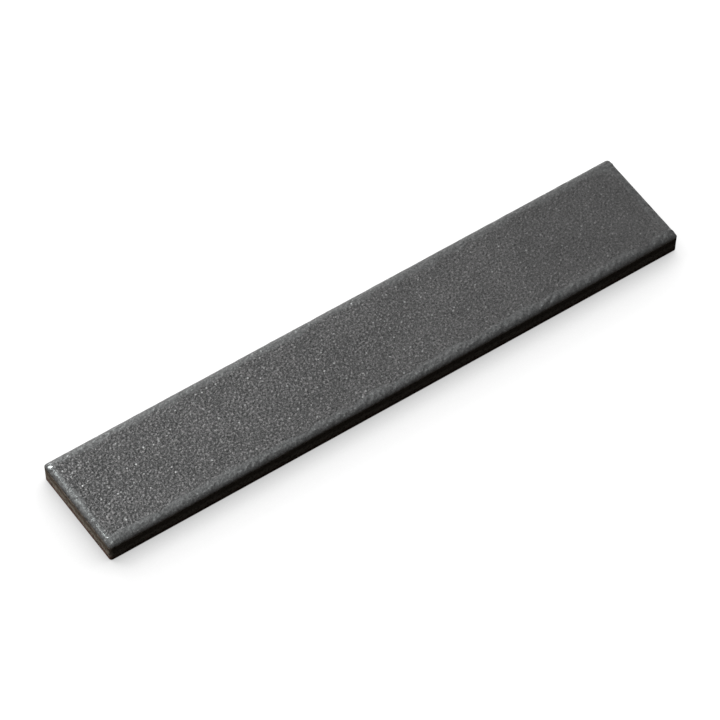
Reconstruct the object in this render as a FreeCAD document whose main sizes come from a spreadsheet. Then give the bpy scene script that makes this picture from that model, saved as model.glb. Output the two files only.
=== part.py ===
import FreeCAD, Part
import math
import os
import Sketcher

# A border tile of pressed porcelain: one fired piece, lying on its back with the face up.
# Millimetres. X runs along the tile, Y across it and Z up, out of the face.
# The origin is the middle of the back.

NODE = "tile"
SHEET = "tile_sizes"

SIZES = (
    ("length", 225.0, "overall length, at the top of the end walls"),
    ("width", 40.0, "overall width, at the top of the long walls"),
    ("thickness", 8.4, "from the back to the flat of the face"),
    ("shoulder_run", 3.0, "from the wall in to where the rounded shoulder meets the flat face"),
    ("shoulder_drop", 1.45, "fall of the shoulder from the face to the top of the wall"),
    ("wall_draft", 0.25, "lean of each wall, in from its top down to the back"),
    ("corner_radius", 1.3, "rounding of the standing corners and of the shoulder mitres"),
    ("back_arris", 0.4, "softened edge round the back"),
    ("land_margin", 4.0, "flat land left round the key cells of the back"),
    ("rib_width", 2.6, "ribs left standing between the key cells"),
    ("key_depth", 0.6, "depth of the key cells"),
    ("key_taper", 30.0, "lean of the cell sides in degrees, so the tile leaves the die"),
    ("cell_corner", 1.5, "corner radius of a key cell at the back"),
    ("key_columns", 18, "key cells along the tile"),
    ("key_rows", 3, "key cells across the tile"),
    ("trim", 5.0, "spare stock past each end, cut away with the end shoulders"),
)
VALUES = {name: value for name, value, note in SIZES}

# Distance from one key cell to the next, so that whole cells fit between the lands.
PITCH_ALONG = "(length - 2 * land_margin + rib_width) / key_columns"
PITCH_ACROSS = "(width - 2 * land_margin + rib_width) / key_rows"

# Point numbers of a sketched edge, and the two axes of a sketch.
START, END = 1, 2
LEVEL_AXIS, UPRIGHT_AXIS = -1, -2
ORIGIN = (LEVEL_AXIS, START)

# An edge that rises less than this counts as level.
FLAT = 0.03


def make_sizes(doc):
    sheet = doc.addObject("Spreadsheet::Sheet", SHEET)
    for row, (name, value, note) in enumerate(SIZES, start=1):
        sheet.set("A%d" % row, name)
        sheet.set("B%d" % row, str(value))
        sheet.set("C%d" % row, note)
        sheet.setAlias("B%d" % row, name)
    doc.recompute()


def bind(thing, prop, formula):
    # A formula is written with bare size names, each read from the sheet.
    spaced = formula.replace("(", "( ").replace(")", " )")
    words = [SHEET + "." + word if word in VALUES else word for word in spaced.split()]
    thing.setExpression(prop, " ".join(words))


def origin_plane(body, role):
    planes = [plane for plane in body.Origin.OriginFeatures if plane.Role == role]
    return planes[0]


def add_sketch(body, name, role):
    sketch = body.newObject("Sketcher::SketchObject", name)
    sketch.AttachmentSupport = [(origin_plane(body, role), "")]
    sketch.MapMode = "FlatFace"
    return sketch


def hold(sketch, kind, *where):
    return sketch.addConstraint(Sketcher.Constraint(kind, *where))


def dimension(sketch, kind, first, second, name, formula):
    # The distance runs from the first point up or along to the second, each (edge, point).
    gap = sketch.getPoint(*second) - sketch.getPoint(*first)
    span = gap.x if kind == "DistanceX" else gap.y
    index = hold(sketch, kind, *first, *second, span)
    sketch.renameConstraint(index, name)
    bind(sketch, "Constraints." + name, formula)


def add_lines(sketch, points):
    # An open run of straight edges through the points, joined end to start.
    ends = [FreeCAD.Vector(x, y, 0) for x, y in points]
    edges = [sketch.addGeometry(Part.LineSegment(a, b), False) for a, b in zip(ends, ends[1:])]
    for before, after in zip(edges, edges[1:]):
        hold(sketch, "Coincident", before, END, after, START)
    return edges


def add_shoulder(sketch, face_edge_at, side):
    # A rounded shoulder that leaves the flat face level and falls to the top of the wall.
    run = VALUES["shoulder_run"]
    drop = VALUES["shoulder_drop"]
    radius = (run * run + drop * drop) / (2 * drop)
    top = VALUES["thickness"]
    centre = FreeCAD.Vector(face_edge_at, top - radius, 0)
    circle = Part.Circle(centre, FreeCAD.Vector(0, 0, 1), radius)
    upright = math.pi / 2
    fall = math.asin(run / radius)
    if side > 0:
        return sketch.addGeometry(Part.ArcOfCircle(circle, upright - fall, upright), False)
    return sketch.addGeometry(Part.ArcOfCircle(circle, upright, upright + fall), False)


def size_shoulder(sketch, face_edge, wall_top):
    dimension(sketch, "DistanceX", face_edge, wall_top, "shoulder_run", "shoulder_run")
    dimension(sketch, "DistanceY", wall_top, face_edge, "shoulder_drop", "shoulder_drop")


def long_stock(body):
    # The cross-section of the tile, run the whole length with spare at both ends.
    half = VALUES["width"] / 2
    foot = half - VALUES["wall_draft"]
    edge = half - VALUES["shoulder_run"]
    top = VALUES["thickness"]
    wall = top - VALUES["shoulder_drop"]
    sketch = add_sketch(body, "cross_section", "YZ_Plane")
    left, base, right = add_lines(sketch, [(-half, wall), (-foot, 0), (foot, 0), (half, wall)])
    face = add_lines(sketch, [(edge, top), (-edge, top)])[0]
    near = add_shoulder(sketch, edge, 1)
    far = add_shoulder(sketch, -edge, -1)
    hold(sketch, "Coincident", right, END, near, START)
    hold(sketch, "Tangent", near, END, face, START)
    hold(sketch, "Tangent", face, END, far, START)
    hold(sketch, "Coincident", far, END, left, START)
    hold(sketch, "PointOnObject", base, START, LEVEL_AXIS)
    hold(sketch, "Symmetric", base, START, base, END, UPRIGHT_AXIS)
    hold(sketch, "Symmetric", left, START, right, END, UPRIGHT_AXIS)
    hold(sketch, "Symmetric", face, START, face, END, UPRIGHT_AXIS)
    dimension(sketch, "DistanceX", (left, START), (right, END), "width", "width")
    dimension(sketch, "DistanceX", (base, END), (right, END), "wall_draft", "wall_draft")
    dimension(sketch, "DistanceY", ORIGIN, (face, START), "thickness", "thickness")
    size_shoulder(sketch, (face, START), (right, END))

    stock = body.newObject("PartDesign::Pad", "long_stock")
    stock.Profile = sketch
    stock.SideType = "Symmetric"
    bind(stock, "Length", "length + 2 * trim")
    return stock


def shape_ends(body):
    # Cuts the same shoulder and wall across one end, then the other.
    half = VALUES["length"] / 2
    foot = half - VALUES["wall_draft"]
    edge = half - VALUES["shoulder_run"]
    top = VALUES["thickness"]
    wall = top - VALUES["shoulder_drop"]
    clear = VALUES["trim"]
    outside = half + 2 * clear
    sketch = add_sketch(body, "end_waste", "XZ_Plane")
    outline = [
        (edge, top),
        (edge, top + clear),
        (outside, top + clear),
        (outside, -clear),
        (foot, -clear),
        (foot, 0),
        (half, wall),
    ]
    rise, lid, outer, floor, drop, leaning = add_lines(sketch, outline)
    shoulder = add_shoulder(sketch, edge, 1)
    hold(sketch, "Coincident", leaning, END, shoulder, START)
    hold(sketch, "Perpendicular", shoulder, END, rise, START)
    hold(sketch, "PointOnObject", leaning, START, LEVEL_AXIS)
    for upright in (rise, outer, drop):
        hold(sketch, "Vertical", upright)
    for level in (lid, floor):
        hold(sketch, "Horizontal", level)
    dimension(sketch, "DistanceX", ORIGIN, (leaning, END), "half_length", "length / 2")
    dimension(sketch, "DistanceX", (leaning, START), (leaning, END), "wall_draft", "wall_draft")
    dimension(sketch, "DistanceY", ORIGIN, (rise, START), "thickness", "thickness")
    dimension(sketch, "DistanceY", (rise, START), (rise, END), "clear_above", "trim")
    dimension(sketch, "DistanceY", (drop, START), (drop, END), "clear_below", "trim")
    dimension(sketch, "DistanceX", (leaning, END), (outer, START), "clear_beyond", "2 * trim")
    size_shoulder(sketch, (rise, START), (leaning, END))

    end_cut = body.newObject("PartDesign::Pocket", "end_cut")
    end_cut.Profile = sketch
    end_cut.Type = "ThroughAll"
    end_cut.SideType = "Symmetric"
    other_end = body.newObject("PartDesign::Mirrored", "other_end_cut")
    other_end.Originals = [end_cut]
    other_end.MirrorPlane = (origin_plane(body, "YZ_Plane"), [""])
    body.Tip = other_end
    return other_end


def edges_where(feature, wanted):
    names = []
    for number, edge in enumerate(feature.Shape.Edges, start=1):
        if wanted(edge.BoundBox):
            names.append("Edge%d" % number)
    return names


def round_edges(doc, body, feature, name, wanted, radius):
    doc.recompute()
    fillet = body.newObject("PartDesign::Fillet", name)
    fillet.Base = (feature, edges_where(feature, wanted))
    bind(fillet, "Radius", radius)
    return fillet


def soften(doc, body, blank):
    # The standing corners run on into the mitres of the shoulder. The wall tops stay crisp.
    reach = 2 * VALUES["shoulder_run"]

    def is_corner(box):
        return box.ZLength > FLAT and box.YLength < reach

    def is_back_rim(box):
        return box.ZMax < FLAT

    corners = round_edges(doc, body, blank, "corner_rounding", is_corner, "corner_radius")
    return round_edges(doc, body, corners, "back_arris_rounding", is_back_rim, "back_arris")


def draw_cell(sketch):
    # The key cell nearest the low left corner of the back: four sides and four tangent corners.
    left = -VALUES["length"] / 2 + VALUES["land_margin"]
    low = -VALUES["width"] / 2 + VALUES["land_margin"]
    along = (VALUES["length"] - 2 * VALUES["land_margin"] + VALUES["rib_width"]) / VALUES["key_columns"]
    across = (VALUES["width"] - 2 * VALUES["land_margin"] + VALUES["rib_width"]) / VALUES["key_rows"]
    right = left + along - VALUES["rib_width"]
    high = low + across - VALUES["rib_width"]
    bend = VALUES["cell_corner"]
    sides = []
    for start, finish in (
        ((left + bend, low), (right - bend, low)),
        ((right, low + bend), (right, high - bend)),
        ((right - bend, high), (left + bend, high)),
        ((left, high - bend), (left, low + bend)),
    ):
        sides += add_lines(sketch, [start, finish])
    bends = []
    quarter = math.pi / 2
    corner_centres = (
        (right - bend, low + bend),
        (right - bend, high - bend),
        (left + bend, high - bend),
        (left + bend, low + bend),
    )
    for turn, (x, y) in enumerate(corner_centres, start=-1):
        circle = Part.Circle(FreeCAD.Vector(x, y, 0), FreeCAD.Vector(0, 0, 1), bend)
        arc = Part.ArcOfCircle(circle, turn * quarter, (turn + 1) * quarter)
        bends.append(sketch.addGeometry(arc, False))
    return sides, bends


def size_cell(sketch, sides, bends):
    for number, arc in enumerate(bends):
        hold(sketch, "Tangent", sides[number], END, arc, START)
        hold(sketch, "Tangent", arc, END, sides[(number + 1) % len(sides)], START)
    for arc in bends[1:]:
        hold(sketch, "Equal", bends[0], arc)
    lower, right_side, upper, left_side = sides
    hold(sketch, "Horizontal", lower)
    hold(sketch, "Vertical", right_side)
    hold(sketch, "Horizontal", upper)
    hold(sketch, "Vertical", left_side)
    corner = hold(sketch, "Radius", bends[0], VALUES["cell_corner"])
    sketch.renameConstraint(corner, "cell_corner")
    bind(sketch, "Constraints.cell_corner", "cell_corner")
    dimension(sketch, "DistanceX", (left_side, START), ORIGIN, "land_end", "length / 2 - land_margin")
    dimension(sketch, "DistanceY", (lower, START), ORIGIN, "land_side", "width / 2 - land_margin")
    cell_length = PITCH_ALONG + " - rib_width"
    cell_width = PITCH_ACROSS + " - rib_width"
    dimension(sketch, "DistanceX", (left_side, START), (right_side, START), "cell_length", cell_length)
    dimension(sketch, "DistanceY", (lower, START), (upper, START), "cell_width", cell_width)


def key_back(body):
    # Shallow rounded cells over the back, which the adhesive bed grips.
    sketch = add_sketch(body, "key_cell", "XY_Plane")
    sides, bends = draw_cell(sketch)
    size_cell(sketch, sides, bends)

    cell = body.newObject("PartDesign::Pocket", "key_cell_cut")
    cell.Profile = sketch
    cell.Reversed = True
    bind(cell, "Length", "key_depth")
    bind(cell, "TaperAngle", "0 - key_taper")
    cells = body.newObject("PartDesign::LinearPattern", "key_cells")
    cells.Originals = [cell]
    cells.Direction = (sketch, ["H_Axis"])
    cells.Direction2 = (sketch, ["V_Axis"])
    bind(cells, "Occurrences", "key_columns")
    bind(cells, "Occurrences2", "key_rows")
    bind(cells, "Length", PITCH_ALONG + " * (key_columns - 1)")
    bind(cells, "Length2", PITCH_ACROSS + " * (key_rows - 1)")
    body.Tip = cells
    return cells


def make_tile(doc):
    body = doc.addObject("PartDesign::Body", NODE)
    body.Label = NODE
    long_stock(body)
    blank = shape_ends(body)
    rounded = soften(doc, body, blank)
    doc.recompute()
    before = rounded.Shape.Volume
    key_back(body)
    doc.recompute()
    if body.Shape.Volume >= before:
        raise RuntimeError("the key cells cut nothing")
    return body


def check(doc, bodies):
    for thing in doc.Objects:
        if "Invalid" in thing.State or "Error" in thing.State:
            raise RuntimeError(thing.Name + " did not build")
    for body in bodies:
        if body.Shape.isNull() or not body.Shape.isValid():
            raise RuntimeError(body.Label + " is not a sound shape")
        if len(body.Shape.Solids) != 1:
            raise RuntimeError(body.Label + " is not one solid")


doc = FreeCAD.newDocument("porcelain_tile")
make_sizes(doc)
pieces = [make_tile(doc)]
check(doc, pieces)
os.makedirs("parts", exist_ok=True)
for piece in pieces:
    piece.Shape.exportStep("parts/" + piece.Label + ".step")
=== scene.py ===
import bpy
import math
import numpy as np
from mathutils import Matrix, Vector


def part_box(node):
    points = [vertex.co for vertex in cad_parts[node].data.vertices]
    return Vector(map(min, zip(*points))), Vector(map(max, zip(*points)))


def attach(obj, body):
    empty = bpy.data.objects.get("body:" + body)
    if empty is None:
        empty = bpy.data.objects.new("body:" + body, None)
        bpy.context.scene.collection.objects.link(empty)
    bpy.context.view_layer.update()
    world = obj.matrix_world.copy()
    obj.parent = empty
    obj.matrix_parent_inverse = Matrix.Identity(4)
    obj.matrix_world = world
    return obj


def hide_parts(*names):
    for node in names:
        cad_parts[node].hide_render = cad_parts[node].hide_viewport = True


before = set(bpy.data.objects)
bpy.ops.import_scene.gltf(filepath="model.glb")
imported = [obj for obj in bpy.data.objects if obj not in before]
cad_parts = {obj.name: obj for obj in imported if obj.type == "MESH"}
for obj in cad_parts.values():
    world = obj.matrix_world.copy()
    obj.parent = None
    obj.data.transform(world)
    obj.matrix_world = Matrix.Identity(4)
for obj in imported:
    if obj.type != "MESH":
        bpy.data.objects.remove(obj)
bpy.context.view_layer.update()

mm = 0.001             # the shapes below are in millimetres, and Blender's are in metres
tileLow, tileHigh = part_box("tile")

halfLength = (tileHigh.x - tileLow.x) / 2 / mm
halfWidth = (tileHigh.y - tileLow.y) / 2 / mm
thickness = (tileHigh.z - tileLow.z) / mm

# What a user would change on the tile's shape, in millimetres.
tileShape = {
    "shoulderRun": 3.0,       # width of the rounded shoulder
    "shoulderDrop": 1.45,     # how far it falls to the top of the wall
    "wallDraft": 0.25,        # lean of the walls
    "cornerRadius": 1.3,
    "mitreGrowth": 0.65,      # how much rounder the shoulder mitres get towards the face
    "creaseBite": 0.1,        # how far the soft crease reaches in over the shoulder
    "creaseReach": 0.2,       # and down the wall
    "backArris": 0.4,
    "rimWidth": 4.2,          # the finer mesh reaches this far in
    "rimSteps": 15,
    "fieldStep": 0.4,         # mesh step over the sandy field
    "wallSteps": 6,
    "arrisSteps": 4,
    "seed": 31,
}
wallTop = thickness - tileShape["shoulderDrop"]
# the circle that runs level at the face and falls by the drop over the run
shoulderRadius = (tileShape["shoulderRun"] ** 2 / tileShape["shoulderDrop"] + tileShape["shoulderDrop"]) / 2

noiseSheet = {
    "cell": 0.12,             # millimetres from one random number to the next
    "margin": 20,             # cells past each side of the tile
    # each kind of noise has a seed of its own, counted on from the tile's
    "kinds": ("grains", "clumps", "border", "beads", "edge", "wall"),
}


def smoothStep(low, high, value):
    # 0 below low, 1 above high, and an S curve between
    t = np.clip((value - low) / (high - low), 0.0, 1.0)
    return t * t * (3.0 - 2.0 * t)


def softNoise(kind, blur, less=None):
    # random numbers on a sheet over the tile, blurred to a bell of radius blur, with mean 0 and
    # spread 1; a second, wider blur is taken off where less is given, so that grains stand alone
    random = np.random.default_rng(tileShape["seed"] + noiseSheet["kinds"].index(kind))
    cell = noiseSheet["cell"]
    columns = int(2 * halfLength / cell) + 2 * noiseSheet["margin"]
    rows = int(2 * halfWidth / cell) + 2 * noiseSheet["margin"]
    sheet = random.standard_normal((rows, columns))
    waveX = np.fft.rfftfreq(columns, cell)
    waveY = np.fft.fftfreq(rows, cell)
    wave = waveX[None, :] ** 2 + waveY[:, None] ** 2
    bell = np.exp(-2.0 * (math.pi * blur) ** 2 * wave)
    if less:
        bell = bell - np.exp(-2.0 * (math.pi * less) ** 2 * wave)
    sheet = np.fft.irfft2(np.fft.rfft2(sheet) * bell, s=sheet.shape)
    return (sheet - sheet.mean()) / sheet.std()


def readNoise(sheet, x, y):
    # the noise sheet read at any place, weighted between its four nearest cells
    column = (x + halfLength) / noiseSheet["cell"] + noiseSheet["margin"]
    row = (y + halfWidth) / noiseSheet["cell"] + noiseSheet["margin"]
    left = np.clip(np.floor(column).astype(int), 0, sheet.shape[1] - 2)
    low = np.clip(np.floor(row).astype(int), 0, sheet.shape[0] - 2)
    across = column - left
    up = row - low
    below = sheet[low, left] * (1 - across) + sheet[low, left + 1] * across
    above = sheet[low + 1, left] * (1 - across) + sheet[low + 1, left + 1] * across
    return below * (1 - up) + above * up


def insetDepth(x, y):
    # distance in from the rounded outline: the lesser of the two side distances,
    # with a circle of the corner radius where both are small, opened up along the mitres
    toEnd = halfLength - np.abs(x)
    toSide = halfWidth - np.abs(y)

    def roundedLeast(bend):
        gap = np.hypot(np.maximum(bend - toEnd, 0), np.maximum(bend - toSide, 0))
        return np.maximum(bend, np.minimum(toEnd, toSide)) - gap

    plain = np.maximum(roundedLeast(tileShape["cornerRadius"]), 0.0)
    opened = tileShape["cornerRadius"] + tileShape["mitreGrowth"] * plain
    return roundedLeast(opened)


def shoulderHeight(depth):
    # a circle that is level with the face at the end of its run and falls to the wall top
    short = np.clip(tileShape["shoulderRun"] - depth, 0.0, None)
    return thickness - shoulderRadius + np.sqrt(shoulderRadius ** 2 - short ** 2)


def gridLines(half, inset):
    # finer steps over the shoulder and rim, even steps between them
    rim = np.linspace(inset, tileShape["rimWidth"], tileShape["rimSteps"] + 1)
    span = 2 * (half - tileShape["rimWidth"])
    count = int(round(span / tileShape["fieldStep"]))
    middle = np.linspace(-span / 2, span / 2, count + 1)
    return np.concatenate([rim[:-1] - half, middle, half - rim[:-1][::-1]])


def bendCorners(x, y, inset):
    # inside each corner square, a point keeps its bearing from the square's inner corner
    # and its larger side becomes its distance, so the square turns into a quarter disc
    bend = tileShape["cornerRadius"] - inset
    coreX = halfLength - tileShape["cornerRadius"]
    coreY = halfWidth - tileShape["cornerRadius"]
    outX = np.maximum(np.abs(x) - coreX, 0.0) / bend
    outY = np.maximum(np.abs(y) - coreY, 0.0) / bend
    far = np.maximum(outX, outY)
    length = np.maximum(np.hypot(outX, outY), 1e-9)   # never nought, so that it can divide
    inCorner = (outX > 0) & (outY > 0)
    newX = np.where(inCorner, np.sign(x) * (coreX + bend * far * outX / length), x)
    newY = np.where(inCorner, np.sign(y) * (coreY + bend * far * outY / length), y)
    return newX, newY


sandRelief = {
    "height": 0.08,           # how far a usual grain rises or falls
    "sunk": 0.8,              # the sand's middle level lies this share of it under the smooth glaze
    "grainSize": 0.2,         # blur radius of one grain
    "grainGap": 0.45,         # blur radius taken off again
    "clumpSize": 1.3,
    "clumpShare": 0.08,
    "finerEnd": 0.56,         # the sand is this much flatter at the far end than at the near one
    "rimAtSides": 2.3,        # the sand starts this far in from the long walls
    "rimAtEnds": 1.6,         # and from the end walls
    "rimFade": 1.7,           # and is full this much further in
    "rimWander": 0.45,        # how far its border wanders
    "wanderSize": 2.2,
    "rimSand": 0.5,           # how much of the sand's height shows in the rim
    "rimSandFrom": (0.8, 2.0),   # where it comes in, from the outline
    "beadHeight": 0.075,      # small beads in the smooth glaze of the rim
    "beadSize": 0.4,
    "beadGap": 1.2,
    "beadsFrom": (0.2, 1.0),
    "poolReach": (3.0, 4.2),  # the glaze pools smoothly this far in from each corner
    "edgeHeight": 0.03,       # unevenness of the glaze edge
    "edgeSize": 0.9,
    "edgeReach": 0.7,
}
cornerSpot = {
    "fromEnd": 1.25,          # middle of the flat spot, in from the end wall
    "fromSide": 2.5,          # and in from the long wall
    "below": 0.42,            # its depth under the face
    "leanEnd": 0.195,         # fall per millimetre towards the end
    "leanSide": 0.298,        # and towards the side
    "radius": 1.5,
    "even": 0.55,             # the part of the radius that is quite flat
}


def withCornerSpots(x, y, z):
    # the glaze gathers at each corner into a small flat spot that leans out over the corner:
    # a leaning plane takes over from the shoulder inside the spot's radius
    fromEnd = halfLength - np.abs(x) - cornerSpot["fromEnd"]
    fromSide = halfWidth - np.abs(y) - cornerSpot["fromSide"]
    rise = cornerSpot["leanEnd"] * fromEnd + cornerSpot["leanSide"] * fromSide
    flat = thickness - cornerSpot["below"] + rise
    away = np.hypot(fromEnd, fromSide) / cornerSpot["radius"]
    share = 1 - smoothStep(cornerSpot["even"], 1.0, away)
    return z * (1 - share) + flat * share


def edgeWander(x, y, distance):
    # the glaze edge rises and falls a little: noise under a bell curve of the distance to the crease
    noise = readNoise(softNoise("edge", sandRelief["edgeSize"]), x, y)
    return sandRelief["edgeHeight"] * noise * np.exp(-(distance / sandRelief["edgeReach"]) ** 2)


def sandGrains(x, y):
    # grains with a share of broad clumps, and evenly flatter towards the far end
    grains = softNoise("grains", sandRelief["grainSize"], less=sandRelief["grainGap"])
    clumps = softNoise("clumps", sandRelief["clumpSize"])
    share = sandRelief["clumpShare"]
    fade = 1 - sandRelief["finerEnd"] * (x + halfLength) / (2 * halfLength)
    return (readNoise(grains, x, y) * (1 - share) + readNoise(clumps, x, y) * share) * fade


def glazePool(x, y):
    # 1 near a corner, where both walls are close, and 0 past the pool's reach
    toCorner = np.maximum(halfWidth - np.abs(y), halfLength - np.abs(x))
    return 1 - smoothStep(*sandRelief["poolReach"], toCorner)


def sandCover(x, y):
    # 1 over the field and 0 in the rim, with a border that wanders, and none where the glaze pools
    border = softNoise("border", sandRelief["wanderSize"])
    wander = readNoise(border, x, y) * sandRelief["rimWander"]
    pastSides = halfWidth - np.abs(y) - sandRelief["rimAtSides"]
    pastEnds = halfLength - np.abs(x) - sandRelief["rimAtEnds"]
    cover = smoothStep(0.0, sandRelief["rimFade"], np.minimum(pastSides, pastEnds) + wander)
    return cover * (1 - glazePool(x, y))


def makeFace(xLines, yLines):
    # the face and its shoulders: a grid over the outline, lifted to the shoulder's height,
    # with sand in the field, thinner sand and beads in the rim and an uneven glaze edge
    flatX, flatY = np.meshgrid(xLines, yLines)
    x, y = bendCorners(flatX, flatY, tileShape["creaseBite"])
    depth = insetDepth(x, y)
    grains = sandGrains(x, y)
    pool = glazePool(x, y)
    sandy = sandCover(x, y)
    rimSand = sandRelief["rimSand"] * smoothStep(*sandRelief["rimSandFrom"], depth) * (1 - pool)
    sand = sandRelief["height"] * (grains - sandRelief["sunk"]) * np.maximum(sandy, rimSand)
    bead = softNoise("beads", sandRelief["beadSize"], less=sandRelief["beadGap"])
    beadShare = (1 - sandy) * (1 - pool) * smoothStep(*sandRelief["beadsFrom"], depth)
    beads = sandRelief["beadHeight"] * readNoise(bead, x, y) * beadShare
    z = withCornerSpots(x, y, shoulderHeight(depth)) + sand + beads + edgeWander(x, y, depth)
    points = np.stack([x.ravel(), y.ravel(), z.ravel()], axis=1)
    layers = {"sandCover": sandy.ravel(), "grainRise": grains.ravel(), "glazePool": pool.ravel()}
    return points, layers


wallWave = {
    "height": 0.03,           # how far the walls wave in and out
    "size": 1.6,
    "edgeAbove": 1.0,         # the glaze edge's unevenness is left off below this height
}


def wallProfile():
    # inset and height down the wall: a soft crease bent round the wall top, even steps down
    # the leaning wall, and a quarter circle for the arris at the back
    run = tileShape["creaseBite"]
    reach = tileShape["creaseReach"]
    draft = tileShape["wallDraft"]
    arris = tileShape["backArris"]
    startZ = float(shoulderHeight(np.array(run)))
    t = np.linspace(0, 1, tileShape["arrisSteps"] + 1)[1:]
    creaseInset = (1 - t) ** 2 * run + t ** 2 * draft * reach / wallTop
    creaseZ = (1 - t) ** 2 * startZ + 2 * t * (1 - t) * wallTop + t ** 2 * (wallTop - reach)
    wallZ = np.linspace(wallTop - reach, arris, tileShape["wallSteps"] + 1)[1:]
    wallInset = draft * (1 - wallZ / wallTop)
    turn = np.linspace(0, math.pi / 2, tileShape["arrisSteps"] + 1)[1:]
    arrisZ = arris * (1 - np.sin(turn))
    arrisInset = wallInset[-1] + arris * (1 - np.cos(turn))
    insets = np.concatenate([creaseInset, wallInset, arrisInset])
    heights = np.concatenate([creaseZ, wallZ, arrisZ])
    return insets, heights


def makeWall(x, y):
    # the profile carried round the border points x, y, leaning in along each point's
    # outward direction, with a slow wave that is fullest halfway up
    bend = tileShape["cornerRadius"]
    coreX = np.clip(x, bend - halfLength, halfLength - bend)
    coreY = np.clip(y, bend - halfWidth, halfWidth - bend)
    outX, outY = x - coreX, y - coreY
    length = np.hypot(outX, outY)
    outX, outY = outX / length, outY / length
    insets, heights = wallProfile()
    insets, heights = insets[:, None], heights[:, None]
    wave = readNoise(softNoise("wall", wallWave["size"]), coreX, coreY)
    ripple = wallWave["height"] * wave[None, :] * np.sin(np.pi * np.clip(heights / wallTop, 0, 1))
    reach = bend - insets + ripple
    wallX = coreX + outX * reach
    wallY = coreY + outY * reach
    lift = edgeWander(wallX, wallY, wallTop - heights)
    wallZ = heights + np.where(heights > wallWave["edgeAbove"], lift, 0.0)
    return np.stack([wallX.ravel(), wallY.ravel(), wallZ.ravel()], axis=1), len(insets)


keyedBack = {
    "landMargin": 4.0,
    "ribWidth": 2.6,
    "depth": 0.6,
    "taper": 30.0,            # lean of the cell sides, in degrees
    "cellCorner": 1.5,
    "columns": 18,
    "rows": 3,
    "landInset": 2.2,         # where the fine wall mesh hands over to the plain back
    "rimLine": 0.12,          # mesh lines this far each side of a cell's sloping side
    "cornerLine": 0.62,       # and one at this part of the cell corner
}


def cellLines(half, count):
    # grid lines across the cells: close together at each cell's leaning sides
    margin, rib = keyedBack["landMargin"], keyedBack["ribWidth"]
    pitch = (2 * half - 2 * margin + rib) / count
    lean = keyedBack["depth"] * math.tan(math.radians(keyedBack["taper"]))
    line, corner = keyedBack["rimLine"], keyedBack["cellCorner"]
    near = np.array([-line, 0.0, lean / 2, lean, lean + line, corner * keyedBack["cornerLine"], corner])
    cell = pitch - rib
    one = np.concatenate([near, [cell / 2], cell - near[::-1]])
    starts = margin - half + pitch * np.arange(count)
    lines = (starts[:, None] + one[None, :]).ravel()
    edge = half - keyedBack["landInset"]
    return np.concatenate([[-edge], lines, [edge]]), pitch


def makeBack():
    # the back: level lands, and cells sunk by how far a point is inside the rounded cell
    xLines, pitchX = cellLines(halfLength, keyedBack["columns"])
    yLines, pitchY = cellLines(halfWidth, keyedBack["rows"])
    x, y = np.meshgrid(xLines, yLines)
    margin, rib = keyedBack["landMargin"], keyedBack["ribWidth"]
    halfCellX, halfCellY = (pitchX - rib) / 2, (pitchY - rib) / 2
    fromX = np.mod(x + halfLength - margin + rib / 2, pitchX) - pitchX / 2
    fromY = np.mod(y + halfWidth - margin + rib / 2, pitchY) - pitchY / 2
    corner = keyedBack["cellCorner"]
    overX = np.abs(fromX) - halfCellX + corner
    overY = np.abs(fromY) - halfCellY + corner
    outside = np.hypot(np.maximum(overX, 0), np.maximum(overY, 0))
    inside = corner - outside - np.minimum(np.maximum(overX, overY), 0)
    lean = keyedBack["depth"] * math.tan(math.radians(keyedBack["taper"]))
    z = keyedBack["depth"] * np.clip(inside / lean, 0, 1)
    beyond = (np.abs(x) > halfLength - margin) | (np.abs(y) > halfWidth - margin)
    z = np.where(beyond, 0.0, z)
    points = np.stack([x.ravel(), y.ravel(), z.ravel()], axis=1)
    return points, xLines, yLines


def loopOf(columns, rows):
    # numbers of a grid's border points, anticlockwise from the low left corner
    grid = np.arange(columns * rows).reshape(rows, columns)
    return np.concatenate([grid[0, :-1], grid[:-1, -1], grid[-1, :0:-1], grid[:0:-1, 0]])


def loopPlace(xLines, yLines):
    # how far round its loop each border point is: 0 to 1 along the front, 1 to 2 up the
    # right side, 2 to 3 along the rear and 3 to 4 down the left side
    alongX = (xLines - xLines[0]) / (xLines[-1] - xLines[0])
    alongY = (yLines - yLines[0]) / (yLines[-1] - yLines[0])
    return np.concatenate([alongX[:-1], 1 + alongY[:-1], 3 - alongX[:0:-1], 4 - alongY[:0:-1]])


def gridFaces(columns, rows):
    # each cell of a grid as a four-cornered face, anticlockwise
    grid = np.arange(columns * rows).reshape(rows, columns)
    corners = (grid[:-1, :-1], grid[:-1, 1:], grid[1:, 1:], grid[1:, :-1])
    return np.stack([corner.ravel() for corner in corners], axis=1)


def zipLoops(fine, finePlace, coarse, coarsePlace):
    # joins two rings with different numbers of points: each edge of either ring
    # makes a triangle with the last point passed on the other ring; both rings close at 4
    fineEnd = np.append(finePlace[1:], 4.0)
    coarseEnd = np.append(coarsePlace[1:], 4.0)
    passedCoarse = np.searchsorted(coarseEnd, fineEnd, side="left") % len(coarse)
    passedFine = np.searchsorted(fineEnd, coarseEnd, side="right") % len(fine)
    first = np.stack([fine, np.roll(fine, -1), coarse[passedCoarse]], axis=1)
    second = np.stack([np.roll(coarse, -1), coarse, fine[passedFine]], axis=1)
    return np.concatenate([first, second])


def addLayer(mesh, name, values, count):
    # a value for each point of the mesh, and 0 for the points after the values end
    padded = np.zeros(count, dtype=np.float32)
    padded[:len(values)] = values
    mesh.attributes.new(name, "FLOAT", "POINT").data.foreach_set("value", padded)


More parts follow.
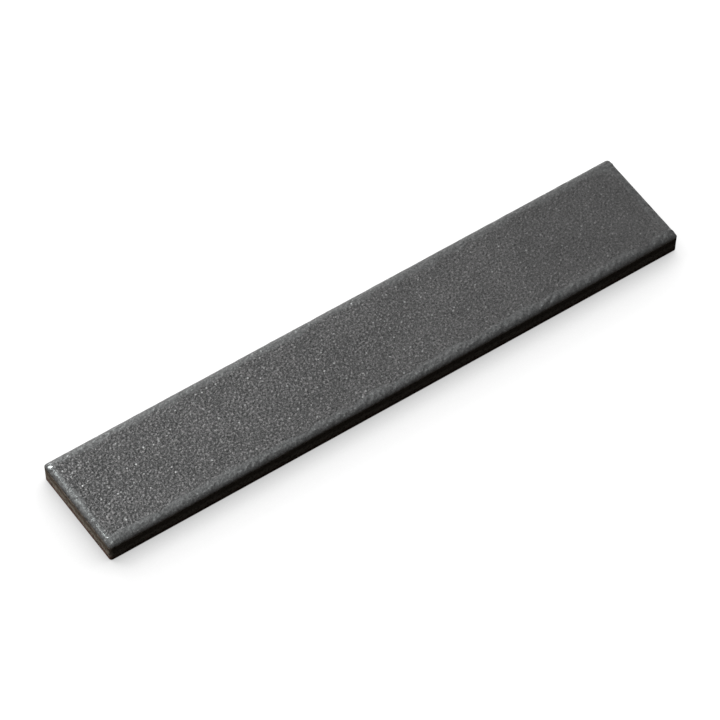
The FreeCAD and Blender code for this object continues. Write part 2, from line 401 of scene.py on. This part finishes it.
def makeTile(glaze, bare):
    # joins face, wall and back into one closed skin
    xLines = gridLines(halfLength, tileShape["creaseBite"])
    yLines = gridLines(halfWidth, tileShape["creaseBite"])
    facePoints, layers = makeFace(xLines, yLines)
    loop = loopOf(len(xLines), len(yLines))
    borderX, borderY = [flat.ravel()[loop] for flat in np.meshgrid(xLines, yLines)]
    wallPoints, ringCount = makeWall(borderX, borderY)
    backPoints, backX, backY = makeBack()
    wallStart = len(facePoints)
    backStart = wallStart + len(wallPoints)
    points = np.concatenate([facePoints, wallPoints, backPoints])

    faceQuads = gridFaces(len(xLines), len(yLines))
    rings = wallStart + np.arange(ringCount * len(loop)).reshape(ringCount, len(loop))
    rings = np.concatenate([loop[None, :], rings])
    upper, lower = rings[:-1], rings[1:]
    wallQuads = np.stack([upper, lower, np.roll(lower, -1, 1), np.roll(upper, -1, 1)], axis=-1)
    wallQuads = wallQuads.reshape(-1, 4)
    backQuads = gridFaces(len(backX), len(backY))[:, ::-1] + backStart
    backLoop = loopOf(len(backX), len(backY)) + backStart
    joins = zipLoops(rings[-1], loopPlace(xLines, yLines), backLoop, loopPlace(backX, backY))[:, ::-1]
    faces = faceQuads.tolist() + wallQuads.tolist() + backQuads.tolist() + joins.tolist()

    glazedRings = tileShape["arrisSteps"] // 2   # the glaze reaches halfway round the crease
    finish = np.ones(len(faces), dtype=np.int32)
    finish[:len(faceQuads) + glazedRings * len(loop)] = 0

    mesh = bpy.data.meshes.new("glazedTile")
    mesh.from_pydata((points * mm).tolist(), [], faces)
    mesh.materials.append(glaze)
    mesh.materials.append(bare)
    mesh.polygons.foreach_set("material_index", finish)
    mesh.polygons.foreach_set("use_smooth", np.ones(len(faces), dtype=bool))
    for name, values in layers.items():
        addLayer(mesh, name, values, len(points))
    mesh.update()
    tile = bpy.data.objects.new("glazedTile", mesh)
    bpy.context.scene.collection.objects.link(tile)
    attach(tile, "root")
    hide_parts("tile")
    triangles = sum(len(face) - 2 for face in faces)
    print("tile skin made:", len(points), "points,", triangles, "triangles")


def lightColour(red, green, blue):
    # a colour as a screen shows it, 0 to 255, as the light it stands for, by the usual screen curve
    shown = np.array([red, green, blue]) / 255.0
    light = np.where(shown <= 0.04045, shown / 12.92, ((shown + 0.055) / 1.055) ** 2.4)
    return (float(light[0]), float(light[1]), float(light[2]), 1.0)


def newFinish(name):
    # an empty node material
    material = bpy.data.materials.new(name)
    material.use_nodes = True
    material.node_tree.nodes.clear()
    return material, material.node_tree


def addNode(tree, kind, inputs=None, **settings):
    # inputs: a socket's name or number, and a plain value or another node's output
    made = tree.nodes.new("ShaderNode" + kind)
    for key, value in settings.items():
        setattr(made, key, value)
    for key, value in (inputs or {}).items():
        if isinstance(value, bpy.types.NodeSocket):
            tree.links.new(value, made.inputs[key])
        else:
            made.inputs[key].default_value = value
    return made


def combine(tree, operation, first, second):
    # a Math node of two values; the three below are the ones used most
    return addNode(tree, "Math", {0: first, 1: second}, operation=operation).outputs[0]


def plus(tree, first, second):
    # both added
    return combine(tree, "ADD", first, second)


def times(tree, first, second):
    # both multiplied
    return combine(tree, "MULTIPLY", first, second)


def without(tree, share):
    # what is left of 1 once the share is taken
    return combine(tree, "SUBTRACT", 1.0, share)


def stretch(tree, value, span, toLow=0.0, toHigh=1.0):
    # an S curve from toLow to toHigh as the value crosses the span, which may run downwards
    inputs = {"Value": value, "From Min": span[0], "From Max": span[1], "To Min": toLow, "To Max": toHigh}
    return addNode(tree, "MapRange", inputs, interpolation_type="SMOOTHSTEP").outputs["Result"]


def blendColour(tree, amount, first, second):
    # the first colour at 0 and the second at 1
    inputs = {0: amount, 6: first, 7: second}   # 6 and 7 are the colour sockets
    return addNode(tree, "Mix", inputs, data_type="RGBA").outputs[2]


def blendValue(tree, amount, first, second):
    # the first value at 0 and the second at 1
    inputs = {0: amount, 2: first, 3: second}   # 2 and 3 are the number sockets
    return addNode(tree, "Mix", inputs).outputs[0]


def cloudNoise(tree, place, scale, detail=2.0, roughness=0.6):
    # soft noise about one half, finer as the scale grows
    inputs = {"Vector": place, "Scale": scale, "Detail": detail, "Roughness": roughness}
    return addNode(tree, "TexNoise", inputs).outputs[0]


def readLayer(tree, name):
    # a value that the mesh carries at each point
    return addNode(tree, "Attribute", attribute_name=name).outputs["Fac"]


def placeInMm(tree):
    # object place in millimetres, so that every scale is per millimetre
    place = addNode(tree, "TexCoord").outputs["Object"]
    return addNode(tree, "VectorMath", {0: place, "Scale": 1 / mm}, operation="SCALE").outputs[0]


def heightOf(tree, place):
    # millimetres over the back
    return addNode(tree, "SeparateXYZ", {0: place}).outputs["Z"]


sandGlaze = {
    # colours
    "stone": lightColour(77, 76, 76),
    "stonePale": lightColour(87, 86, 86),
    # pale smooth glaze, made paler and cooler to lift the shoulder highlights: partly painted highlight
    "rimPaleAndHighlight": lightColour(123, 125, 125),
    # painted light: pale on the grain tops, partly the grains' own colour
    "grainTopAndLight": lightColour(162, 160, 160),
    # painted shade: dark in the low places between grains, partly the grains' own colour
    "pitAndShade": lightColour(27, 26, 26),
    # pale specks: partly pale grains, partly painted glints
    "paleSpeckAndGlint": lightColour(215, 216, 215),
    "edge": lightColour(36, 31, 28),
    # patterns: scales per millimetre, spans as (nothing of it, all of it)
    "cloudScale": 0.06,
    "cloudSpan": (0.3, 0.72),
    "fineScale": 2.2,
    "fineSpan": (0.25, 0.75),
    "fineRise": 1.5,          # height of the fine grain, in spreads of the sand
    "coarseShare": 0.75,      # share of the modelled grains in the colour
    "pitSpan": (0.4, -1.6),
    "pitShare": 0.95,
    "topSpan": (0.1, 2.3),
    "topShare": 0.85,
    "speckScale": 0.9,
    "speckSpan": (0.4, 0.12),
    "speckShare": 0.11,       # the share of cells that are pale: partly pale grains, partly painted glints
    "rimScale": 0.9,
    "rimSpan": (0.35, 0.7),
    "rimCloud": 0.2,
    "rimGrainSpan": (1.8, -1.8),
    "rimGrain": 0.55,
    "rimClear": 0.68,         # how much of the rim's colour is free of sand at the coarser end
    "edgeScale": 0.8,
    "edgeWander": 0.9,
    "edgeSpan": (1.6, 0.2),   # over the wall top
    # gloss
    "roughRim": 0.4,
    "smoothRim": 0.11,        # in spots of the rim
    "spotScale": 0.55,
    "spotSpan": (0.4, 0.62),
    "roughPool": 0.12,        # where the glaze gathers at the corners
    "roughSand": 0.46,
    "roughSpan": (0.3, 0.7),
    "roughFine": (-0.03, 0.05),   # added by the fine grain
    "roughEdge": 0.5,         # added where the glaze thins out at the edge
    "specular": 0.2,
    "sheen": (0.9, 1.0, 0.99, 1.0),
    # bump: depths in millimetres
    "sandBumpScale": 1.5,
    "sandBumpDepth": 0.24,
    "peelScale": 1.1,
    "peelDepth": 0.1,
}


def fadeAlong(tree, place):
    # 1 at the near end, falling evenly towards the far end, as the sand's relief does
    along = addNode(tree, "SeparateXYZ", {0: place}).outputs["X"]
    inputs = {
        "Value": along,
        "From Min": -halfLength,
        "From Max": halfLength,
        "To Min": 1.0,
        "To Max": 1.0 - sandRelief["finerEnd"],
    }
    return addNode(tree, "MapRange", inputs).outputs["Result"]


def sandColour(tree, place, rise, fade):
    # dark stone clouded with a paler one, darkened where the grain is low and paled where it is high:
    # partly the grains' own colour, partly painted shade in the low places and painted light on the tops.
    # Pale specks in some of the cells of a cell pattern: partly pale grains, partly painted glints
    clouds = stretch(tree, cloudNoise(tree, place, sandGlaze["cloudScale"], 4.0), sandGlaze["cloudSpan"])
    stone = blendColour(tree, clouds, sandGlaze["stone"], sandGlaze["stonePale"])
    pitsAndShade = times(tree, stretch(tree, rise, sandGlaze["pitSpan"]), sandGlaze["pitShare"])
    stone = blendColour(tree, pitsAndShade, stone, sandGlaze["pitAndShade"])
    topsAndLight = times(tree, stretch(tree, rise, sandGlaze["topSpan"]), sandGlaze["topShare"])
    stone = blendColour(tree, topsAndLight, stone, sandGlaze["grainTopAndLight"])
    cells = addNode(tree, "TexVoronoi", {"Vector": place, "Scale": sandGlaze["speckScale"]})
    dot = stretch(tree, cells.outputs["Distance"], sandGlaze["speckSpan"])
    luck = addNode(tree, "SeparateColor", {0: cells.outputs["Color"]}).outputs[0]
    picked = stretch(tree, luck, (1.0 - sandGlaze["speckShare"], 1.0))
    # painted glints: the pale specks fade faster towards the far end than the grain does, as the lamps'
    # glints do
    paleSpeckAndGlint = times(tree, times(tree, dot, picked), times(tree, fade, fade))
    return blendColour(tree, paleSpeckAndGlint, stone, sandGlaze["paleSpeckAndGlint"])


def rimColour(tree, place, rise):
    # the pale rim, partly painted highlight, dulled towards the stone by soft clouds and by the low places
    # between grains, which is partly painted shade
    cloud = stretch(tree, cloudNoise(tree, place, sandGlaze["rimScale"], 3.0), sandGlaze["rimSpan"])
    grain = stretch(tree, rise, sandGlaze["rimGrainSpan"])
    dulled = plus(tree, times(tree, cloud, sandGlaze["rimCloud"]), times(tree, grain, sandGlaze["rimGrain"]))
    return blendColour(tree, dulled, sandGlaze["rimPaleAndHighlight"], sandGlaze["stone"])


def glazeEdge(tree, place):
    # 1 at the wall top and 0 up on the face, by height with some wander
    wander = times(tree, cloudNoise(tree, place, sandGlaze["edgeScale"], 3.0), sandGlaze["edgeWander"])
    height = plus(tree, heightOf(tree, place), wander)
    return stretch(tree, height, [wallTop + above for above in sandGlaze["edgeSpan"]])


def glazeRoughness(tree, place, fine, sandy, pool, edge):
    # spotty in the rim, smooth in the pools and duller in the sand, uneven with the fine grain
    # and dull where the glaze thins out at its edge
    spots = cloudNoise(tree, place, sandGlaze["spotScale"])
    rim = stretch(tree, spots, sandGlaze["spotSpan"], sandGlaze["roughRim"], sandGlaze["smoothRim"])
    smooth = blendValue(tree, pool, rim, sandGlaze["roughPool"])
    rough = blendValue(tree, sandy, smooth, sandGlaze["roughSand"])
    rough = plus(tree, rough, stretch(tree, fine, sandGlaze["roughSpan"], *sandGlaze["roughFine"]))
    return plus(tree, rough, times(tree, edge, sandGlaze["roughEdge"]))


def glazeBump(tree, place, sandy, fade, pool):
    # a faint orange peel everywhere but in the pools, and fine grit where the sand lies
    peel = addNode(tree, "Bump", {
        "Height": cloudNoise(tree, place, sandGlaze["peelScale"], roughness=0.5),
        "Strength": without(tree, pool),
        "Distance": sandGlaze["peelDepth"] * mm,
    })
    grit = addNode(tree, "Bump", {
        "Height": cloudNoise(tree, place, sandGlaze["sandBumpScale"]),
        "Strength": times(tree, sandy, fade),
        "Distance": sandGlaze["sandBumpDepth"] * mm,
        "Normal": peel.outputs[0],
    })
    return grit.outputs[0]


def makeSandGlaze():
    # colour: sand colour where the sand lies and, more thinly, in the rim; rim colour for the
    # rest, and dark at the glaze edge. The grain that colours them is the modelled one with
    # fine noise added, both fading towards the far end.
    material, tree = newFinish("sandGlaze")
    place = placeInMm(tree)
    fade = fadeAlong(tree, place)
    sandy = readLayer(tree, "sandCover")
    pool = readLayer(tree, "glazePool")
    fine = cloudNoise(tree, place, sandGlaze["fineScale"])
    fineRise = stretch(tree, fine, sandGlaze["fineSpan"], -sandGlaze["fineRise"], sandGlaze["fineRise"])
    coarseRise = times(tree, readLayer(tree, "grainRise"), sandGlaze["coarseShare"])
    rise = plus(tree, coarseRise, times(tree, fineRise, fade))
    rimSand = without(tree, times(tree, fade, sandGlaze["rimClear"]))
    covered = combine(tree, "MAXIMUM", sandy, rimSand)
    sand = sandColour(tree, place, rise, fade)
    colour = blendColour(tree, covered, rimColour(tree, place, rise), sand)
    edge = glazeEdge(tree, place)
    shader = addNode(tree, "BsdfPrincipled", {
        "Base Color": blendColour(tree, edge, colour, sandGlaze["edge"]),
        "Roughness": glazeRoughness(tree, place, fine, sandy, pool, edge),
        "Specular IOR Level": sandGlaze["specular"],
        "Specular Tint": sandGlaze["sheen"],
        "Normal": glazeBump(tree, place, sandy, fade, pool),
    })
    addNode(tree, "OutputMaterial", {"Surface": shader.outputs[0]})
    print("sand glaze made")
    return material


bareBody = {
    "foot": lightColour(122, 92, 81),
    "clay": lightColour(154, 144, 131),
    "highBand": lightColour(100, 89, 78),
    "dust": lightColour(72, 64, 56),
    "driftScale": 0.35,
    "drift": 2.4,             # how far the bands wander up and down, in millimetres
    "footSpan": (0.7, 2.9),   # heights over the back at which the foot turns into clay
    "bandStart": (3.4, 4.9),  # the darker band comes in here
    "bandEnd": (7.4, 6.0),    # and goes out here
    "bandShare": 0.8,
    "dustScale": 1.1,
    "dustSpan": (0.56, 0.36),
    "dustShare": 0.85,
    "gritScale": 2.2,
    "gritSpan": (0.3, 0.7),
    "gritRough": 0.06,
    "gritStrength": 0.35,
    "gritDepth": 0.12,
    "specular": 0.0,
    "rough": 0.85,
}


def makeBareBody():
    # colour: brown clay, redder at the foot, with a darker band high on the wall whose edges wander,
    # and dark mottling over all of it. Roughness and bump: fine grit.
    material, tree = newFinish("bareBody")
    place = placeInMm(tree)
    drift = times(tree, cloudNoise(tree, place, bareBody["driftScale"], 3.0), bareBody["drift"])
    height = plus(tree, heightOf(tree, place), drift)
    height = combine(tree, "SUBTRACT", height, bareBody["drift"] / 2)
    clay = blendColour(tree, stretch(tree, height, bareBody["footSpan"]), bareBody["foot"], bareBody["clay"])
    rising = stretch(tree, height, bareBody["bandStart"])
    falling = stretch(tree, height, bareBody["bandEnd"])
    band = times(tree, times(tree, rising, falling), bareBody["bandShare"])
    colour = blendColour(tree, band, clay, bareBody["highBand"])
    dust = cloudNoise(tree, place, bareBody["dustScale"], 4.0, 0.7)
    dust = times(tree, stretch(tree, dust, bareBody["dustSpan"]), bareBody["dustShare"])
    grit = cloudNoise(tree, place, bareBody["gritScale"], 3.0, 0.65)
    gritRough = stretch(tree, grit, bareBody["gritSpan"], -bareBody["gritRough"], bareBody["gritRough"])
    bump = addNode(tree, "Bump", {
        "Height": grit,
        "Strength": bareBody["gritStrength"],
        "Distance": bareBody["gritDepth"] * mm,
    })
    shader = addNode(tree, "BsdfPrincipled", {
        "Base Color": blendColour(tree, dust, colour, bareBody["dust"]),
        "Roughness": plus(tree, gritRough, bareBody["rough"]),
        "Specular IOR Level": bareBody["specular"],
        "Normal": bump.outputs[0],
    })
    addNode(tree, "OutputMaterial", {"Surface": shader.outputs[0]})
    print("bare body made")
    return material


studio = {
    "floorSize": 12.0,         # metres
    "floorUnder": 0.02,        # millimetres under the tile, so that the two never flicker
    "floorShown": 0.29,        # the part of the floor's white that nothing dims
    "paintedShadowPart": 0.74,         # the part of the floor's white dimmed by the painted shadow round the tile
    "floorTone": 0.1,          # the part dimmed by the lamps' own shadows
    "shadowReach": 0.08,       # metres
    "shadowSamples": 16,
    "paintedShadowLean": (0.42, 0.42, 0.81),   # the painted shadow's test leans this way, to the back, so that the shadow falls on the near sides
    "floorBounce": 0.03,       # how much light the floor throws back on the tile
    "ambient": 0.024,
}
white = (1.0, 1.0, 1.0, 1.0)


def grey(level):
    # an even colour of this much light
    return (level, level, level, 1.0)


def seenRays(tree):
    # 1 for what the camera sees, straight, mirrored or through glass, and 0 for scattered light
    path = addNode(tree, "LightPath").outputs
    seen = combine(tree, "MAXIMUM", path["Is Camera Ray"], path["Is Glossy Ray"])
    return combine(tree, "MAXIMUM", seen, path["Is Transmission Ray"])


def makeFloorPaint():
    # shown as a white glow that a painted shadow dims round the tile, with plain paint under it that takes
    # the lamps' own shadows; dark to scattered light
    material, tree = newFinish("paleFloor")
    paint = addNode(tree, "BsdfDiffuse", {"Color": grey(studio["floorTone"])})
    leanX, leanY, leanZ = studio["paintedShadowLean"]
    lean = addNode(tree, "CombineXYZ", {"X": leanX, "Y": leanY, "Z": leanZ}).outputs[0]
    reach = {"Distance": studio["shadowReach"], "Normal": lean}
    # painted shadow: the share of open air round each floor point, leaned towards the back, dims the floor's
    # white glow
    paintedShadowTest = addNode(tree, "AmbientOcclusion", reach, samples=studio["shadowSamples"])
    shade = times(tree, paintedShadowTest.outputs["AO"], studio["paintedShadowPart"])
    shade = plus(tree, shade, studio["floorShown"])
    glow = addNode(tree, "Emission", {"Color": white, "Strength": shade})
    shown = addNode(tree, "AddShader", {0: paint.outputs[0], 1: glow.outputs[0]})
    dull = addNode(tree, "BsdfDiffuse", {"Color": grey(studio["floorBounce"])})
    chosen = addNode(tree, "MixShader", {0: seenRays(tree), 1: dull.outputs[0], 2: shown.outputs[0]})
    addNode(tree, "OutputMaterial", {"Surface": chosen.outputs[0]})
    return material


def makeFloor():
    # one level square, a hair under the tile
    half = studio["floorSize"] / 2
    under = -studio["floorUnder"] * mm
    mesh = bpy.data.meshes.new("paleFloor")
    corners = [(-half, -half, under), (half, -half, under), (half, half, under), (-half, half, under)]
    mesh.from_pydata(corners, [], [(0, 1, 2, 3)])
    mesh.materials.append(makeFloorPaint())
    floor = bpy.data.objects.new("paleFloor", mesh)
    bpy.context.scene.collection.objects.link(floor)
    print("floor made")


def makeWorld():
    # white to the camera and to mirrored rays, dim to scattered light
    world = bpy.data.worlds.new("studioAir")
    world.use_nodes = True
    tree = world.node_tree
    tree.nodes.clear()
    strength = stretch(tree, seenRays(tree), (0.0, 1.0), studio["ambient"], 1.0)
    air = addNode(tree, "Background", {"Color": white, "Strength": strength})
    addNode(tree, "OutputWorld", {"Surface": air.outputs[0]})
    bpy.context.scene.world = world
    print("air made")


lamps = {
    # name: direction from the tile, distance and size in metres, share of the light on the face
    "windowKey": ((-0.50, 0.49, 0.71), 0.7, 0.24, 0.455),
    "rearKey": ((-0.06, 0.89, 0.455), 1.2, 0.22, 0.22),
    "sideFill": ((-0.93, 0.05, 0.36), 0.9, 0.5, 0.052),
    "highFill": ((0.0, 0.05, 1.0), 1.5, 0.9, 0.272),
}


def makeLamps():
    # round lamps that face the tile from their directions; a share of 1 lights a level
    # white sheet to plain white, which takes pi squared watts at a metre straight above
    for name, (direction, distance, size, share) in lamps.items():
        light = bpy.data.lights.new(name, "AREA")
        light.shape = "DISK"
        light.size = size
        toward = np.array(direction) / np.linalg.norm(direction)
        light.energy = share * (math.pi * distance) ** 2 / toward[2]
        lamp = bpy.data.objects.new(name, light)
        bpy.context.scene.collection.objects.link(lamp)
        lamp.location = toward * distance
        tilt = math.acos(toward[2])
        turn = math.atan2(toward[1], toward[0]) + math.pi / 2
        lamp.rotation_euler = (tilt, 0.0, turn)
        lamp.visible_camera = False
    print("lamps made:", len(lamps))


cameraPlace = {
    "azimuth": -34.25,         # degrees round from the front
    "elevation": 53.35,        # degrees above level
    "distance": 1809.3,        # millimetres
    "aimRight": 1.799,         # millimetres from the middle of the view to the tile's origin
    "aimUp": -0.708,           # and upwards
    "lens": 275.0,
    "nearest": 0.05,           # metres
    "farthest": 50.0,
}


def makeCamera():
    # stands back from the tile's origin along the view, shifted square to it by the aim
    data = bpy.data.cameras.new("tileCamera")
    data.lens = cameraPlace["lens"]
    data.clip_start = cameraPlace["nearest"]
    data.clip_end = cameraPlace["farthest"]
    camera = bpy.data.objects.new("tileCamera", data)
    bpy.context.scene.collection.objects.link(camera)
    azimuth = math.radians(cameraPlace["azimuth"])
    elevation = math.radians(cameraPlace["elevation"])
    back = np.array([
        math.sin(azimuth) * math.cos(elevation),
        -math.cos(azimuth) * math.cos(elevation),
        math.sin(elevation),
    ])
    right = np.array([math.cos(azimuth), math.sin(azimuth), 0.0])
    up = np.cross(back, right)
    place = back * cameraPlace["distance"] - right * cameraPlace["aimRight"] - up * cameraPlace["aimUp"]
    camera.location = place * mm
    camera.rotation_euler = (math.pi / 2 - elevation, 0.0, azimuth)
    bpy.context.scene.camera = camera
    print("camera made")


makeTile(makeSandGlaze(), makeBareBody())
makeFloor()
makeWorld()
makeLamps()
makeCamera()
bpy.context.scene.view_settings.view_transform = "Standard"

bpy.context.view_layer.update()
